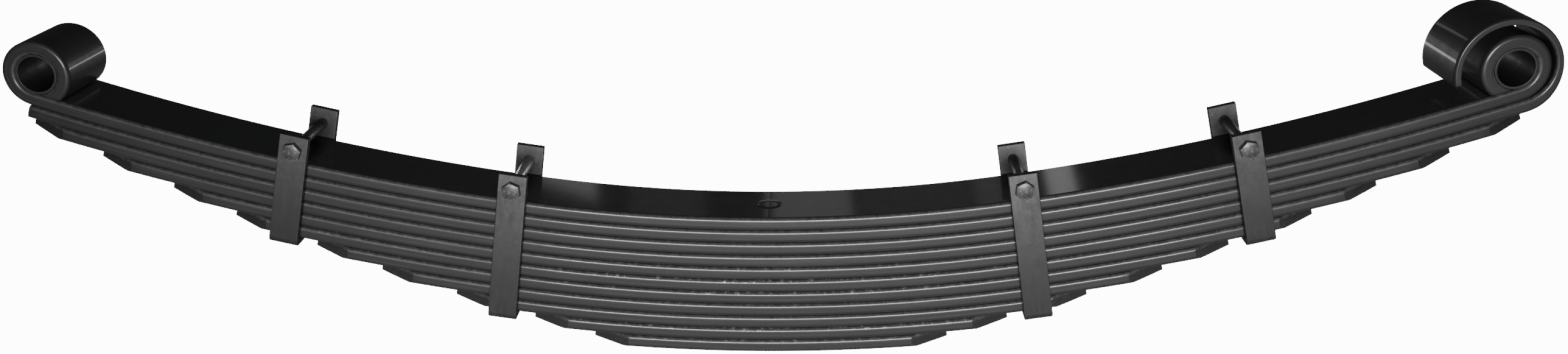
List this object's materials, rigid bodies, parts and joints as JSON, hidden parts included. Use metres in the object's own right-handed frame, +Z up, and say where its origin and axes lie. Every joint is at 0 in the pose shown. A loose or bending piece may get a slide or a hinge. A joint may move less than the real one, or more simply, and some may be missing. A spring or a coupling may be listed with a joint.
{
  "type": "leaf spring",
  "caption": "Semi-elliptic leaf spring with rolled eyes, a half wrap round one eye, stepped leaves with trimmed tips and bolted rebound clips.",
  "frame": {"origin": "on the centre bolt's axis, where its round head meets the underside of the shortest leaf", "axes": "+X along the spring towards the wrapped eye, +Y across its width, along both eyes, +Z up, away from the axle"},
  "size_m": [1.6873, 0.1295, 0.4031],
  "materials": {
    "leaf_paint": "satin black paint over rolled spring steel",
    "clip_paint": "satin black paint over flat bar",
    "fastener_paint": "satin dark grey paint",
    "bolt_zinc": "dull bare steel, part painted",
    "bush_metal": "dark dull steel"
  },
  "bodies": {
    "leaf_pack": {"main_leaf": "leaf_paint", "wrap_leaf": "leaf_paint", "leaf_3": "leaf_paint", "leaf_4": "leaf_paint", "leaf_5": "leaf_paint", "leaf_6": "leaf_paint", "leaf_7": "leaf_paint", "leaf_8": "leaf_paint", "leaf_9": "leaf_paint", "leaf_10": "leaf_paint", "leaf_11": "leaf_paint", "centre_bolt": "leaf_paint", "centre_nut": "leaf_paint"},
    "left_inner_arm": {"left_inner_clip_strap": "clip_paint", "left_inner_clip_bolt": "bolt_zinc", "left_inner_clip_nut": "fastener_paint", "left_inner_clip_rivet": "clip_paint"},
    "left_outer_arm": {"left_outer_clip_strap": "clip_paint", "left_outer_clip_bolt": "bolt_zinc", "left_outer_clip_nut": "fastener_paint", "left_outer_clip_rivet": "clip_paint"},
    "left_end": {"left_eye_bush": "bush_metal"},
    "right_inner_arm": {"right_inner_clip_strap": "clip_paint", "right_inner_clip_bolt": "bolt_zinc", "right_inner_clip_nut": "fastener_paint", "right_inner_clip_rivet": "clip_paint"},
    "right_outer_arm": {"right_outer_clip_strap": "clip_paint", "right_outer_clip_bolt": "bolt_zinc", "right_outer_clip_nut": "fastener_paint", "right_outer_clip_rivet": "clip_paint"},
    "right_end": {"right_eye_bush": "bush_metal"}
  },
  "joints": [
    {"name": "left_flex", "type": "hinge", "parent": "leaf_pack", "child": "left_inner_arm", "pos_m": [-0.15, 0, 0.09], "axis": [0, -1, 0], "range_deg": [0, 5.5], "stiffness_Nm_per_rad": 175000, "deforming": ["main_leaf", "wrap_leaf", "leaf_3", "leaf_4", "leaf_5", "leaf_6", "leaf_7", "leaf_8", "leaf_9", "leaf_10", "leaf_11"]},
    {"name": "left_flex_middle", "type": "hinge", "parent": "left_inner_arm", "child": "left_outer_arm", "pos_m": [-0.4, 0, 0.148], "axis": [0, -1, 0], "range_deg": [0, 5.5], "stiffness_Nm_per_rad": 108000, "deforming": ["main_leaf", "wrap_leaf", "leaf_3", "leaf_4", "leaf_5", "leaf_6", "leaf_7", "leaf_8"]},
    {"name": "left_flex_end", "type": "hinge", "parent": "left_outer_arm", "child": "left_end", "pos_m": [-0.65, 0, 0.228], "axis": [0, -1, 0], "range_deg": [0, 5.5], "stiffness_Nm_per_rad": 40000, "deforming": ["main_leaf", "wrap_leaf", "leaf_3", "leaf_4", "leaf_5"]},
    {"name": "right_flex", "type": "hinge", "parent": "leaf_pack", "child": "right_inner_arm", "pos_m": [0.15, 0, 0.09], "axis": [0, 1, 0], "range_deg": [0, 5.5], "stiffness_Nm_per_rad": 175000, "deforming": ["main_leaf", "wrap_leaf", "leaf_3", "leaf_4", "leaf_5", "leaf_6", "leaf_7", "leaf_8", "leaf_9", "leaf_10", "leaf_11"]},
    {"name": "right_flex_middle", "type": "hinge", "parent": "right_inner_arm", "child": "right_outer_arm", "pos_m": [0.4, 0, 0.148], "axis": [0, 1, 0], "range_deg": [0, 5.5], "stiffness_Nm_per_rad": 108000, "deforming": ["main_leaf", "wrap_leaf", "leaf_3", "leaf_4", "leaf_5", "leaf_6", "leaf_7", "leaf_8"]},
    {"name": "right_flex_end", "type": "hinge", "parent": "right_outer_arm", "child": "right_end", "pos_m": [0.65, 0, 0.228], "axis": [0, 1, 0], "range_deg": [0, 5.5], "stiffness_Nm_per_rad": 40000, "deforming": ["main_leaf", "wrap_leaf", "leaf_3", "leaf_4", "leaf_5"]}
  ]
}
